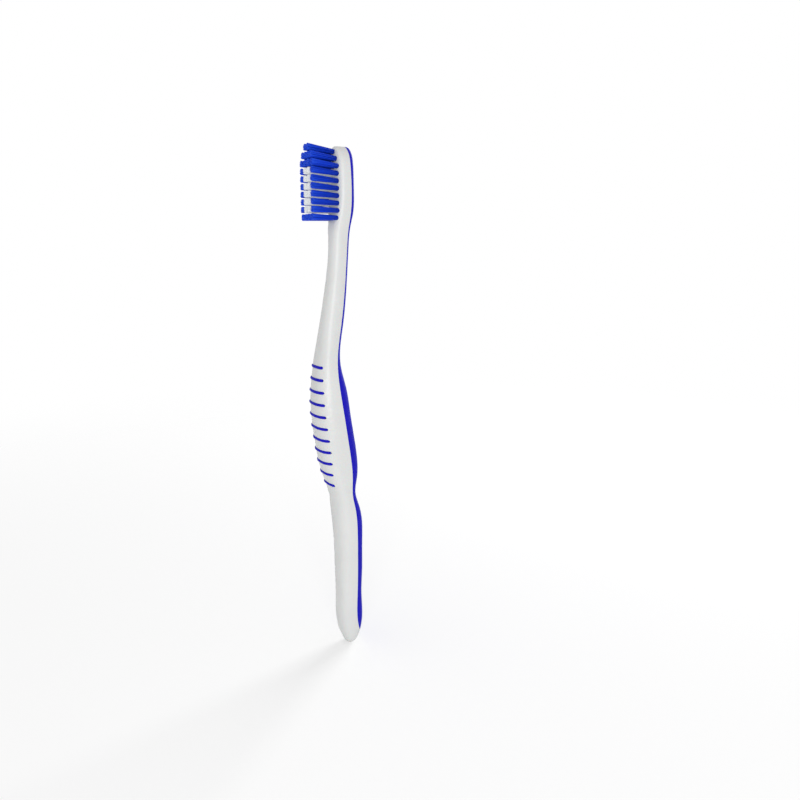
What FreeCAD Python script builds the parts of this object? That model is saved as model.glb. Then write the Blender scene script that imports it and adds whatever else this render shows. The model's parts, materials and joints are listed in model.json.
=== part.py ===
import FreeCAD, Part
import math
import os
import Sketcher

Vector = FreeCAD.Vector

# Manual toothbrush, upright: +Z runs from the tail to the tip of the head, the bristles point to -Y and
# the origin is the tip of the tail. Driving sizes are in millimetres, angles in degrees, counts plain.
SIZES = {
    # Handle stations from the tail up: rise above the one below, width, depth, bow towards the front
    "tail_rise": 10.0, "tail_width": 9.7, "tail_depth": 9.6, "tail_bow": 0.1,
    "butt_rise": 11.0, "butt_width": 10.3, "butt_depth": 9.5, "butt_bow": 0.25,
    "lower_rise": 11.0, "lower_width": 11.0, "lower_depth": 9.95, "lower_bow": 0.1,
    "middle_rise": 11.0, "middle_width": 11.8, "middle_depth": 10.1, "middle_bow": 0.15,
    "ledge_rise": 9.0, "ledge_width": 12.4, "ledge_depth": 10.6, "ledge_bow": 0.45,
    "slope_rise": 6.0, "slope_width": 13.0, "slope_depth": 9.85, "slope_bow": 1.3,
    "waist_rise": 6.0, "waist_width": 13.4, "waist_depth": 8.9, "waist_bow": 2.5,
    "climb_rise": 6.0, "climb_width": 13.5, "climb_depth": 11.9, "climb_bow": 3.05,
    "swell_rise": 7.0, "swell_width": 13.8, "swell_depth": 14.1, "swell_bow": 3.95,
    "hip_rise": 9.0, "hip_width": 15.0, "hip_depth": 14.05, "hip_bow": 5.25,
    "belly_rise": 9.0, "belly_width": 15.4, "belly_depth": 13.5, "belly_bow": 6.45,
    "chest_rise": 10.0, "chest_width": 14.2, "chest_depth": 11.9, "chest_bow": 7.15,
    "shoulder_rise": 9.0, "shoulder_width": 12.1, "shoulder_depth": 8.75, "shoulder_bow": 7.6,
    "throat_rise": 13.0, "throat_width": 8.9, "throat_depth": 8.05, "throat_bow": 5.7,
    "neck_rise": 15.0, "neck_width": 7.7, "neck_depth": 7.3, "neck_bow": 3.4,
    "nape_rise": 15.0, "nape_width": 7.2, "nape_depth": 6.9, "nape_bow": 2.05,
    "collar_rise": 5.0, "collar_width": 8.4, "collar_depth": 6.85, "collar_bow": 1.75,
    "heel_rise": 5.0, "heel_width": 10.5, "heel_depth": 6.6, "heel_bow": 1.0,
    "head_rise": 9.0, "head_width": 12.2, "head_depth": 6.45, "head_bow": 0.75,
    "crown_rise": 14.0,
    # Oval pad of the hard head that shows through the soft back
    "window_rise": 6.1, "window_width": 7.8, "window_height": 15.0, "window_recess": 0.5,
    # Arched ridges at the tip of the head
    "ridge_count": 3, "ridge_drop": 2.3, "ridge_pitch": 2.4, "ridge_chord": 3.0, "ridge_sag": 0.7,
    "ridge_bead": 0.5,
    # Grip ribs across the front of the belly
    "rib_count": 11, "rib_drop": 1.0, "rib_pitch": 4.5, "rib_height": 1.1, "rib_reach": 6.6,
    "rib_end_loss": 1.9, "rib_proud": 0.45, "rib_root": 0.7,
    # Bristle tufts
    "tuft_rows": 10, "toe_drop": 1.9, "tuft_pitch": 2.49, "tuft_outer": 3.95, "tuft_inner": 1.3,
    "tuft_root": 1.6, "tuft_tip": 2.1, "tuft_length": 10.0, "tuft_socket": 3.0,
    "toe_fan": 6.5, "heel_fan": 1.0, "side_splay": 4.5,
    "anchor_width": 1.4, "anchor_height": 1.3, "anchor_gauge": 0.25,
    # Tool bay in the back
    "bay_top_gap": 2.4, "bay_width": 6.9, "bay_low_width": 6.2, "bay_tail_width": 4.0, "bay_tail_gap": 1.5,
    "liner_wall": 0.7, "liner_floor": 0.55, "seat_gap": 0.25, "tool_depth": 2.15, "tool_tilt": 6.0,
    "nub_gap": 0.2, "nub_width": 1.6, "nub_depth": 1.8, "nub_root": 1.5, "rail_proud": 0.7,
    "rail_margin": 0.3,
    # Interdental brush, measured up from the waist along its own axis
    "pick_gap": 0.5, "pick_tail": 2.6, "pick_grip": 15.2, "pick_flare": 5.6, "pick_stem": 8.8,
    "pick_width": 5.3, "pick_knuckle_width": 5.9, "pick_knuckle": 5.0, "pick_thickness": 4.0,
    "pick_tail_width": 5.2, "pick_tail_thickness": 3.0, "pick_base_thickness": 3.4, "pick_stem_width": 1.8,
    "pick_bar_width": 2.8, "pick_bar_thickness": 1.8, "pick_dot": 1.7, "pick_dot_rise": 2.4,
    "wire_width": 0.6, "wire_length": 13.0, "wire_socket": 5.0,
    "filament_width": 3.7, "filament_length": 7.0,
    # Gum stimulator, measured down from the waist
    "stim_gap": 0.4, "stim_plate": 6.0, "stim_plate_width": 5.6, "stim_plate_thickness": 2.6,
    "stim_pad": 5.7, "stim_pad_drop": 6.4, "stim_shaft_end": 23.8, "stim_shaft_width": 4.8,
    "stim_thickness": 4.0, "stim_bar_width": 2.4, "stim_bar_thickness": 1.6,
    "stim_neck_width": 3.0, "stim_neck": 4.6, "stim_pin": 1.4, "stim_pin_length": 5.0,
    "tip_width": 5.1, "tip_length": 10.2, "tip_point": 1.5, "tip_round": 0.6,
    # Length by which cutting shapes run past what they cut
    "overrun": 8.0,
}

STATIONS = ("tail", "butt", "lower", "middle", "ledge", "slope", "waist", "climb", "swell", "hip", "belly",
            "chest", "shoulder", "throat", "neck", "nape", "collar", "heel", "head")
RIBBED_STATIONS = STATIONS[4:15]

# Section shape by station: 2 is an ellipse, higher is boxier
HANDLE_POWER, COLLAR_POWER, HEAD_POWER = 2.6, 3.0, 3.8
STATION_POWERS = {"collar": COLLAR_POWER, "heel": HEAD_POWER, "head": HEAD_POWER}
RING_POINTS = 24

# Rounded ends: height, width and depth as shares of the end station's own sizes
TAIL_SHARES = ((0.0, 0.26, 0.20), (0.1, 0.54, 0.42), (0.3, 0.79, 0.63), (0.62, 0.95, 0.85))
CROWN_SHARES = ((0.36, 0.975, 1.0), (0.64, 0.90, 0.99), (0.80, 0.755, 0.96), (0.93, 0.48, 0.88),
                (1.0, 0.15, 0.7))

# Parting line between hard front and soft back, as shares of the half depth behind the middle
PARTING_SHARES = {
    "tail": 0.33, "butt": 0.32, "lower": 0.31, "middle": 0.30, "ledge": 0.29, "slope": 0.33, "waist": 0.37,
    "climb": 0.38, "swell": 0.38, "hip": 0.35, "belly": 0.33, "chest": 0.27, "shoulder": 0.41, "throat": 0.55,
    "neck": 0.57, "nape": 0.58, "collar": 0.56, "heel": 0.46, "head": 0.42,
}
# Where the parting line turns out through the back of the tail: shares of its rise and half depth
PARTING_TAIL_SHARES = ((0.40, 1.3), (0.60, 0.6))

# Columns of the rows that differ from the full rows, as shares of the outer and inner places
TOE_SHARE, SECOND_OUTER_SHARE, SECOND_INNER_SHARE, HEEL_SHARE = 0.77, 0.73, 0.74, 0.89

doc = FreeCAD.newDocument("Toothbrush")
sheet = doc.addObject("Spreadsheet::Sheet", "Sizes")
for row, (alias, value) in enumerate(SIZES.items(), start=1):
    sheet.set(f"A{row}", alias)
    sheet.set(f"B{row}", str(value))
    sheet.setAlias(f"B{row}", alias)
doc.recompute()


def mm(alias):
    """Value of one cell of the sheet."""
    return float(sheet.get(alias))


def station_heights():
    """Height of each station above the tail tip."""
    heights = {}
    height = 0
    for name in STATIONS:
        height += mm(name + "_rise")
        heights[name] = height
    return heights


HEIGHTS = station_heights()
TIP_HEIGHT = HEIGHTS["head"] + mm("crown_rise")
OVERRUN = mm("overrun")
BACK_LIMIT = max(mm(name + "_depth") for name in STATIONS) + OVERRUN
SIDE_LIMIT = max(mm(name + "_width") for name in STATIONS) + OVERRUN


def add_solid(label, shape, placement=None):
    """Document object that holds one free-form shape."""
    item = doc.addObject("Part::Feature", label)
    item.Label = label
    item.Shape = shape
    if placement is not None:
        item.Placement = placement
    return item


def ring(height, width, depth, bow, power, grow=0):
    """Level closed section: a rounded box that is an ellipse at power 2."""
    points = []
    for step in range(RING_POINTS):
        angle = math.pi / 2 + 2 * math.pi * step / RING_POINTS
        across = math.copysign(abs(math.cos(angle)) ** (2 / power), math.cos(angle))
        deep = math.copysign(abs(math.sin(angle)) ** (2 / power), math.sin(angle))
        points.append(Vector(across * (width / 2 + grow), deep * (depth / 2 + grow) - bow, height))
    curve = Part.BSplineCurve()
    curve.interpolate(points, PeriodicFlag=True)
    return Part.Wire(curve.toShape())


def loft(rings, ruled=False):
    """Solid through level sections, smooth or straight from one to the next."""
    return Part.makeLoft(rings, True, ruled)


def station_rings(names, grow=0):
    """Sections of the handle at the named stations, moved outwards by grow."""
    return [ring(HEIGHTS[name], mm(name + "_width"), mm(name + "_depth"), mm(name + "_bow"),
                 STATION_POWERS.get(name, HANDLE_POWER), grow) for name in names]


def handle_form():
    """Outer form of the handle, neck and head."""
    tail = [ring(height * mm("tail_rise"), width * mm("tail_width"), depth * mm("tail_depth"),
                 mm("tail_bow"), HANDLE_POWER) for height, width, depth in TAIL_SHARES]
    crown = [ring(HEIGHTS["head"] + height * mm("crown_rise"), width * mm("head_width"),
                  depth * mm("head_depth"), mm("head_bow"), HEAD_POWER)
             for height, width, depth in CROWN_SHARES]
    return loft(tail + station_rings(STATIONS) + crown)


def block(x_span, y_span, z_span):
    """Box between two limits along each axis."""
    size = [high - low for low, high in (x_span, y_span, z_span)]
    return Part.makeBox(*size, Vector(x_span[0], y_span[0], z_span[0]))


def across_x(wire):
    """Closed outline in the YZ plane pulled through the whole width."""
    face = Part.Face(wire)
    face.translate(Vector(-SIDE_LIMIT, 0, 0))
    return face.extrude(Vector(2 * SIDE_LIMIT, 0, 0))


def behind_parting():
    """Everything behind the parting line, apart from the oval pad of the head."""
    points = []
    for rise, deep in PARTING_TAIL_SHARES:
        points.append(Vector(0, deep * mm("tail_depth") / 2 - mm("tail_bow"), rise * mm("tail_rise")))
    for name in STATIONS:
        behind = PARTING_SHARES[name] * mm(name + "_depth") / 2 - mm(name + "_bow")
        points.append(Vector(0, behind, HEIGHTS[name]))
    points.append(points[-1] + Vector(0, 0, mm("crown_rise") + OVERRUN))
    curve = Part.BSplineCurve()
    curve.interpolate(points)
    far_tail = Vector(0, BACK_LIMIT, points[0].z)
    far_tip = Vector(0, BACK_LIMIT, points[-1].z)
    edges = [curve.toShape(), Part.makeLine(points[-1], far_tip), Part.makeLine(far_tip, far_tail),
             Part.makeLine(far_tail, points[0])]
    return across_x(Part.Wire(edges)).cut(window_column())


def window_column():
    """Oval column along Y at the pad of the head."""
    oval = Part.Ellipse(Vector(0, 0, 0), mm("window_height") / 2, mm("window_width") / 2)
    face = Part.Face(Part.Wire(oval.toShape()))
    face.rotate(Vector(0, 0, 0), Vector(0, 0, 1), 90)
    face.rotate(Vector(0, 0, 0), Vector(1, 0, 0), 90)
    face.translate(Vector(0, 0, HEIGHTS["heel"] + mm("window_rise")))
    return face.extrude(Vector(0, BACK_LIMIT, 0))


def window_level():
    """Place along Y of the flat oval pad."""
    return mm("head_depth") / 2 - mm("head_bow") - mm("window_recess")


WAIST = HEIGHTS["waist"]
TOOL_LEVEL = mm("waist_depth") / 2 - mm("waist_bow") - mm("tool_depth")
TILT = math.radians(mm("tool_tilt"))
BAY_TOP = HEIGHTS["shoulder"] - mm("bay_top_gap")
BAY_BOTTOM = HEIGHTS["tail"] + mm("bay_tail_gap")
TIP_BASE = WAIST - mm("stim_shaft_end") - mm("stim_neck")
FLOOR_DROP = mm("pick_thickness") / 2 + mm("seat_gap")


def tool_level(height):
    """Place along Y of the tools' axes at a height: upright below the waist, tilted above it."""
    return TOOL_LEVEL - math.tan(TILT) * max(height - WAIST, 0)


def bay_outline():
    """Mouth of the bay in the XZ plane, rounded at both ends."""
    upper, lower, tail = mm("bay_width") / 2, mm("bay_low_width") / 2, mm("bay_tail_width") / 2
    side = [(upper, BAY_TOP - upper), (upper, WAIST), (lower, WAIST - mm("stim_pad_drop")),
            (lower, TIP_BASE), (tail, BAY_BOTTOM + tail)]
    right = [Vector(x, 0, z) for x, z in side]
    left = [Vector(-x, 0, z) for x, z in side]
    edges = [Part.Arc(left[0], Vector(0, 0, BAY_TOP), right[0]).toShape()]
    edges += [Part.makeLine(low, high) for low, high in zip(right, right[1:])]
    edges.append(Part.Arc(right[-1], Vector(0, 0, BAY_BOTTOM), left[-1]).toShape())
    edges += [Part.makeLine(low, high) for low, high in zip(left[::-1], left[-2::-1])]
    return Part.Wire(edges)


def bay_space(wall, floor, tail_floor):
    """Room of the bay with its sides moved out by wall and its floors sunk below the tools."""
    mouth = bay_outline()
    if wall:
        mouth = mouth.makeOffset2D(wall)
    face = Part.Face(mouth)
    face.translate(Vector(0, -BACK_LIMIT, 0))
    column = face.extrude(Vector(0, 2 * BACK_LIMIT, 0))
    top, bottom = BAY_TOP + OVERRUN, -OVERRUN
    profile = [(BACK_LIMIT, top), (tool_level(top) - floor, top), (TOOL_LEVEL - floor, WAIST),
               (TOOL_LEVEL - floor, TIP_BASE), (TOOL_LEVEL - tail_floor, TIP_BASE),
               (TOOL_LEVEL - tail_floor, bottom), (BACK_LIMIT, bottom)]
    corners = [Vector(0, y, z) for index, (y, z) in enumerate(profile) if (y, z) != profile[index - 1]]
    return column.common(across_x(Part.makePolygon(corners + corners[:1])))


def rib_slab(index):
    """Upright plate with round ends that marks out one grip rib."""
    middle = (mm("rib_count") - 1) / 2
    reach = mm("rib_reach") - mm("rib_end_loss") * ((index - middle) / middle) ** 2
    height = HEIGHTS["shoulder"] - mm("rib_drop") - index * mm("rib_pitch")
    round_end = mm("rib_height") / 2
    straight = reach - round_end
    top, bottom = height + round_end, height - round_end
    right_end = [Vector(straight, 0, top), Vector(reach, 0, height), Vector(straight, 0, bottom)]
    left_end = [Vector(-straight, 0, bottom), Vector(-reach, 0, height), Vector(-straight, 0, top)]
    edges = [Part.makeLine(left_end[-1], right_end[0]), Part.Arc(*right_end).toShape(),
             Part.makeLine(right_end[-1], left_end[0]), Part.Arc(*left_end).toShape()]
    face = Part.Face(Part.Wire(edges))
    face.translate(Vector(0, -mm("belly_bow"), 0))
    return face.extrude(Vector(0, -BACK_LIMIT, 0))


def grip_ribs():
    """Soft beads let into the front of the belly and standing a little proud of it."""
    proud = loft(station_rings(RIBBED_STATIONS, mm("rib_proud")))
    root = loft(station_rings(RIBBED_STATIONS, -mm("rib_root")))
    band = proud.cut(root)
    return [band.common(rib_slab(index)) for index in range(int(mm("rib_count")))]


def back_of(form, height):
    """Back of a form on its middle line at a height."""
    line = Part.makeLine(Vector(0, -BACK_LIMIT, height), Vector(0, BACK_LIMIT, height))
    return form.common(line).BoundBox.YMax


def head_ridges(form):
    """Arched beads half sunk into the back of the head."""
    half, sag, bead = mm("ridge_chord") / 2, mm("ridge_sag"), mm("ridge_bead") / 2
    ridges = []
    for index in range(int(mm("ridge_count"))):
        height = TIP_HEIGHT - mm("ridge_drop") - index * mm("ridge_pitch")
        level = back_of(form, height)
        start, end = Vector(-half, level, height - sag), Vector(half, level, height - sag)
        arc = Part.Arc(start, Vector(0, level, height), end)
        round_wire = Part.Wire(Part.makeCircle(bead, start, arc.tangent(arc.FirstParameter)[0]))
        ridges.append(Part.Wire(arc.toShape()).makePipeShell([round_wire], True, False))
    return ridges


def wall_pair(inner, outer, low, high, level):
    """Two mirrored blocks on the side walls of the bay."""
    deep = (level - mm("nub_depth") / 2, level + mm("nub_depth") / 2)
    return [block((inner, outer), deep, (low, high)), block((-outer, -inner), deep, (low, high))]


def hard_nubs():
    """Nubs and rails of the hard core that reach through the liner beside the tools."""
    root = mm("liner_wall") + mm("nub_root")
    half = mm("nub_width") / 2
    upper, lower = mm("bay_width") / 2, mm("bay_low_width") / 2
    grip_top = WAIST + (mm("pick_gap") + mm("pick_tail") + mm("pick_grip")) * math.cos(TILT)
    knuckle = WAIST + (mm("pick_gap") + mm("pick_tail") + mm("pick_dot_rise")) * math.cos(TILT)
    rail_low, rail_high = TIP_BASE + mm("rail_margin"), TIP_BASE + mm("stim_neck") - mm("rail_margin")
    nubs = wall_pair(mm("pick_width") / 2 + mm("nub_gap"), upper + root, grip_top - half, grip_top + half,
                     tool_level(grip_top))
    nubs += wall_pair(mm("pick_knuckle_width") / 2 + mm("nub_gap"), upper + root, knuckle - half,
                      knuckle + half, tool_level(knuckle))
    nubs += wall_pair(lower - mm("rail_proud"), lower + root, rail_low, rail_high, TOOL_LEVEL)
    return nubs


def soft_lugs():
    """Lugs of the soft liner beside the shaft of the lower tool."""
    lower = mm("bay_low_width") / 2
    middle = WAIST - mm("stim_shaft_end") + mm("stim_shaft_width")
    half = mm("nub_width") / 2
    return wall_pair(mm("stim_shaft_width") / 2 + mm("nub_gap"), lower + mm("liner_wall") / 2, middle - half,
                     middle + half, TOOL_LEVEL)


def tuft_columns(index):
    """Places along X of the tufts in one row, counted from the toe."""
    outer, inner = mm("tuft_outer"), mm("tuft_inner")
    if index == 0:
        return (-TOE_SHARE * inner, TOE_SHARE * inner)
    if index == 1:
        outer, inner = SECOND_OUTER_SHARE * outer, SECOND_INNER_SHARE * inner
    elif index == int(mm("tuft_rows")) - 1:
        outer, inner = HEEL_SHARE * outer, HEEL_SHARE * inner
    return (-outer, -inner, inner, outer)


def tuft_placements():
    """Name and placement of every tuft: a fan to the tip that grows to the toe, and a splay sideways."""
    rows = int(mm("tuft_rows"))
    face = -mm("head_depth") / 2 - mm("head_bow")
    placements = {}
    for index in range(rows):
        height = TIP_HEIGHT - mm("toe_drop") - index * mm("tuft_pitch")
        fan = mm("toe_fan") + (mm("heel_fan") - mm("toe_fan")) * index / (rows - 1)
        lean = FreeCAD.Rotation(Vector(1, 0, 0), 90 - fan)
        for column, across in enumerate(tuft_columns(index), start=1):
            name = f"tuft_row{index + 1:02d}_{column}"
            splay = FreeCAD.Rotation(Vector(0, 0, 1), mm("side_splay") * across / mm("tuft_outer"))
            placements[name] = FreeCAD.Placement(Vector(across, face, height), splay.multiply(lean))
    return placements


def plane_of(body, role):
    """Origin plane or axis of a body by its role."""
    return next(item for item in body.Origin.OriginFeatures if item.Role == role)


def add_sketch(body, name, role, corners):
    """Closed outline of straight lines; each corner is a pair of expressions, across and up."""
    sketch = body.newObject("Sketcher::SketchObject", name)
    sketch.AttachmentSupport = (plane_of(body, role), [""])
    sketch.MapMode = "FlatFace"
    count = len(corners)
    places = [Vector(body.evalExpression(across), body.evalExpression(up), 0) for across, up in corners]
    for index in range(count):
        sketch.addGeometry(Part.LineSegment(places[index], places[(index + 1) % count]), False)
    for index in range(count):
        sketch.addConstraint(Sketcher.Constraint("Coincident", index, 2, (index + 1) % count, 1))
    for index, expressions in enumerate(corners):
        for kind, expression, place in zip(("DistanceX", "DistanceY"), expressions, places[index]):
            number = sketch.addConstraint(Sketcher.Constraint(kind, -1, 1, index, 1, place))
            sketch.setExpression(f"Constraints[{number}]", expression)
    return sketch


def rectangle(across, low, high):
    """Corners of a rectangle that is centred across."""
    left, right = f"-({across}) / 2", f"({across}) / 2"
    return [(left, low), (right, low), (right, high), (left, high)]


def add_pad(body, sketch, expression):
    """Pad of a sketch to both sides alike."""
    pad = body.newObject("PartDesign::Pad", sketch.Name + "_pad")
    pad.Profile = sketch
    pad.SideType = "Symmetric"
    pad.setExpression("Length", expression)
    return pad


def add_turned(body, name, profile):
    """Revolution of a closed profile about the body's upright axis."""
    sketch = add_sketch(body, name, "XZ_Plane", profile)
    turned = body.newObject("PartDesign::Revolution", name + "_turned")
    turned.Profile = sketch
    turned.ReferenceAxis = (sketch, ["V_Axis"])
    return turned


def turned_body(label, profile):
    """Body that is one turned profile."""
    body = doc.addObject("PartDesign::Body", label)
    body.Label = label
    add_turned(body, label + "_profile", profile)
    return body


def tube(inner, outer, low, high):
    """Profile of a round bar or tube between two radii and two heights."""
    return [(inner, low), (outer, low), (outer, high), (inner, high)]


def tuft_master():
    """One bundle of bristles on its own axis: a straight root in the socket and a free end that flares."""
    profile = [("0", "-Sizes.tuft_socket"), ("Sizes.tuft_root / 2", "-Sizes.tuft_socket"),
               ("Sizes.tuft_root / 2", "0"), ("Sizes.tuft_tip / 2", "Sizes.tuft_length"),
               ("0", "Sizes.tuft_length")]
    return turned_body("tuft_master", profile)


def anchor_master():
    """Flat metal plate at the bottom of a socket, in the fold of the bristles."""
    body = doc.addObject("PartDesign::Body", "anchor_master")
    top = "Sizes.anchor_height - Sizes.tuft_socket"
    outline = rectangle("Sizes.anchor_width", "-Sizes.tuft_socket", top)
    add_pad(body, add_sketch(body, "anchor_outline", "XZ_Plane", outline), "Sizes.anchor_gauge")
    return body


def pick_core():
    """Hard middle of the interdental brush: tail, bar with its dot, flared base and round stem."""
    low = mm("pick_gap")
    tail_top = low + mm("pick_tail")
    base = tail_top + mm("pick_grip")
    neck = base + mm("pick_flare")
    top = neck + mm("pick_stem")
    stem, width, thick = mm("pick_stem_width"), mm("pick_width"), mm("pick_base_thickness")
    flare_shares = ((0.0, 0.92), (0.1, 1.0), (0.22, 0.9), (0.38, 0.58), (0.55, 0.3), (0.75, 0.1), (1.0, 0.0))
    rings = []
    for rise, spread in flare_shares:
        rings.append(ring(base + rise * (neck - base), stem + spread * (width - stem),
                          stem + spread * (thick - stem), 0, HANDLE_POWER))
    dome_shares = ((0.0, 1.0), (0.5, 0.86), (0.85, 0.52), (1.0, 0.2))
    for rise, spread in dome_shares:
        rings.append(ring(top + (rise - 1) * stem / 2, spread * stem, spread * stem, 0, 2))
    upper = loft(rings, True)
    tail_width, tail_thick = mm("pick_tail_width"), mm("pick_tail_thickness")
    cushion_shares = ((0.0, 0.82), (0.2, 0.96), (0.5, 1.0), (1.0, 1.0))
    tail = loft([ring(low + rise * (tail_top - low), spread * tail_width, spread * tail_thick, 0, HEAD_POWER)
                 for rise, spread in cushion_shares], True)
    half_bar, half_thick = mm("pick_bar_width") / 2, mm("pick_bar_thickness") / 2
    bar = block((-half_bar, half_bar), (-half_thick, half_thick), (tail_top - half_thick, base + half_thick))
    dot = Part.makeCylinder(mm("pick_dot") / 2, mm("pick_thickness") / 2,
                            Vector(0, 0, tail_top + mm("pick_dot_rise")), Vector(0, 1, 0))
    return upper.fuse([tail, bar, dot]).removeSplitter()


def pick_grip():
    """Soft grip of the interdental brush round its bar, wider at the knuckle."""
    low = mm("pick_gap") + mm("pick_tail")
    high = low + mm("pick_grip")
    knuckle = low + mm("pick_knuckle")
    ease = mm("pick_knuckle") / 4
    wide, slim, thick = mm("pick_knuckle_width"), mm("pick_width"), mm("pick_thickness")
    places = ((low, wide), (knuckle - ease, wide), (knuckle, (wide + slim) / 2), (knuckle + ease, slim),
              (high, slim))
    return loft([ring(height, width, thick, 0, HEAD_POWER) for height, width in places], True)


def stim_grip():
    """Soft shaft and round thumb pad of the gum stimulator, with its slim neck."""
    end = -mm("stim_shaft_end")
    width, thick = mm("stim_shaft_width"), mm("stim_thickness")
    end_shares = ((0.0, 0.62), (0.3, 0.86), (1.0, 1.0))
    rings = [ring(end + rise * width / 2, spread * width, thick * (1 + spread) / 2, 0, HEAD_POWER)
             for rise, spread in end_shares]
    rings.append(ring(-mm("stim_pad_drop"), width, thick, 0, HEAD_POWER))
    shaft = loft(rings, True)
    pad = Part.makeCylinder(mm("stim_pad") / 2, thick / 2 + mm("stim_plate_thickness") / 2,
                            Vector(0, -mm("stim_plate_thickness") / 2, -mm("stim_pad_drop")), Vector(0, 1, 0))
    neck = Part.makeCylinder(mm("stim_neck_width") / 2, mm("stim_neck") + thick / 2,
                             Vector(0, 0, end - mm("stim_neck")))
    return shaft.fuse([pad, neck]).removeSplitter()


def stim_core():
    """Hard plate, bar and pin inside the gum stimulator."""
    body = doc.addObject("PartDesign::Body", "stimulator_core")
    body.Label = "stimulator_core"
    plate = rectangle("Sizes.stim_plate_width", "-Sizes.stim_gap - Sizes.stim_plate", "-Sizes.stim_gap")
    add_pad(body, add_sketch(body, "stim_plate_outline", "XZ_Plane", plate), "Sizes.stim_plate_thickness")
    bar = rectangle("Sizes.stim_bar_width", "-Sizes.stim_shaft_end", "-Sizes.stim_gap")
    add_pad(body, add_sketch(body, "stim_bar_outline", "XZ_Plane", bar), "Sizes.stim_bar_thickness")
    pin_end = "-Sizes.stim_shaft_end - Sizes.stim_neck - Sizes.stim_pin_length"
    add_turned(body, "stim_pin_profile", tube("0", "Sizes.stim_pin / 2", pin_end, "-Sizes.stim_pad_drop"))
    return body


def stim_tip():
    """Rubber cone with a rounded point and a blind socket for the pin."""
    base = "-Sizes.stim_shaft_end - Sizes.stim_neck"
    point = f"{base} - Sizes.tip_length"
    socket = f"{base} - Sizes.stim_pin_length"
    profile = [("0", point), ("Sizes.tip_point / 2", point), ("Sizes.tip_width / 2", base),
               ("Sizes.stim_pin / 2", base), ("Sizes.stim_pin / 2", socket), ("0", socket)]
    body = turned_body("stimulator_tip", profile)
    turned = body.Tip
    doc.recompute()
    low = turned.Shape.BoundBox.ZMin
    names = [f"Edge{number}" for number, edge in enumerate(turned.Shape.Edges, start=1)
             if edge.CenterOfMass.z < low + mm("tip_round") and edge.Length > mm("tip_point")]
    rounded = body.newObject("PartDesign::Fillet", "tip_rounded")
    rounded.Base = (turned, names)
    rounded.setExpression("Radius", "Sizes.tip_round")
    return body


STEM_TOP = "Sizes.pick_gap + Sizes.pick_tail + Sizes.pick_grip + Sizes.pick_flare + Sizes.pick_stem"


def pick_wire():
    """Twisted wire of the interdental brush, set in the stem."""
    profile = tube("0", "Sizes.wire_width / 2", f"{STEM_TOP} - Sizes.wire_socket",
                   f"{STEM_TOP} + Sizes.wire_length")
    return turned_body("interdental_wire", profile)


def pick_filaments():
    """Round brush of filaments on the wire."""
    profile = tube("Sizes.wire_width / 2", "Sizes.filament_width / 2", STEM_TOP,
                   f"{STEM_TOP} + Sizes.filament_length")
    return turned_body("interdental_filaments", profile)


def placed(shape, placement):
    """Copy of a shape at a placement."""
    copy = shape.copy()
    copy.Placement = placement
    return copy


# Bristle tufts and their anchors, on one axis and then at their places
tuft_body = tuft_master()
anchor_body = anchor_master()
doc.recompute()
placements = tuft_placements()
bundle = tuft_body.Shape.cut(anchor_body.Shape)
sockets = [placed(tuft_body.Shape, place) for place in placements.values()]
anchors = [placed(anchor_body.Shape, place) for place in placements.values()]

# Hard core and soft back share the handle's form
form = handle_form()
soft_region = behind_parting()
pocket_floor = FLOOR_DROP + mm("liner_floor")
pocket = bay_space(mm("liner_wall"), pocket_floor, pocket_floor)
room = bay_space(0, FLOOR_DROP, pocket_floor)
nubs = hard_nubs()
ribs = grip_ribs()
above_window = block((-SIDE_LIMIT, SIDE_LIMIT), (window_level(), BACK_LIMIT), (0, TIP_HEIGHT))
core = form.cut([soft_region, pocket]).cut(window_column().common(above_window))
core = core.fuse(nubs).cut(ribs).cut(sockets)
skin = form.common(soft_region).fuse(form.common(pocket)).cut(room)
skin = skin.fuse(soft_lugs() + head_ridges(form)).cut(nubs)

pieces = [add_solid("handle_core", core), add_solid("back_overmould", skin)]
for index, rib in enumerate(ribs, start=1):
    pieces.append(add_solid(f"grip_rib_{index:02d}", rib))
for name, place in placements.items():
    pieces.append(add_solid(name, bundle, place))
pieces.append(add_solid("tuft_anchors", Part.makeCompound(anchors)))

# Tools in the bay, each built on its own axis from the waist and then seated
seat_point = Vector(0, TOOL_LEVEL, WAIST)
upper_seat = FreeCAD.Placement(seat_point, FreeCAD.Rotation(Vector(1, 0, 0), mm("tool_tilt")))
lower_seat = FreeCAD.Placement(seat_point, FreeCAD.Rotation())
wire, filaments, lower_core, lower_tip = pick_wire(), pick_filaments(), stim_core(), stim_tip()
doc.recompute()
upper_core = pick_core()
pieces.append(add_solid("interdental_core", upper_core.cut(wire.Shape), upper_seat))
pieces.append(add_solid("interdental_grip", pick_grip().cut(upper_core), upper_seat))
pieces.append(add_solid("stimulator_grip", stim_grip().cut(lower_core.Shape), lower_seat))
seats = ((wire, upper_seat), (filaments, upper_seat), (lower_core, lower_seat), (lower_tip, lower_seat))
for body, seat in seats:
    body.Placement = seat
    pieces.append(body)
doc.recompute()

# Every object has to be sound before anything is written
for item in doc.Objects:
    if {"Invalid", "Error"} & set(item.State):
        raise RuntimeError(f"{item.Label} failed: {item.State}")
for piece in pieces:
    if piece.Shape.isNull() or not piece.Shape.isValid():
        raise RuntimeError(f"{piece.Label} has no valid shape")

os.makedirs("parts", exist_ok=True)
for piece in pieces:
    piece.Shape.exportStep(f"parts/{piece.Label}.step")
print(f"{len(pieces)} sub-parts, {TIP_HEIGHT:g} mm long")
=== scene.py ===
"""Looks of the manual toothbrush: bristles, soft grips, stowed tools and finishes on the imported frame."""

from __future__ import annotations

import json
import logging
import math
import random
from dataclasses import dataclass
from enum import Enum
from typing import Iterable, Sequence, Union

import bmesh
import bpy
from mathutils import Color, Matrix, Vector
from mathutils.bvhtree import BVHTree


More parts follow.
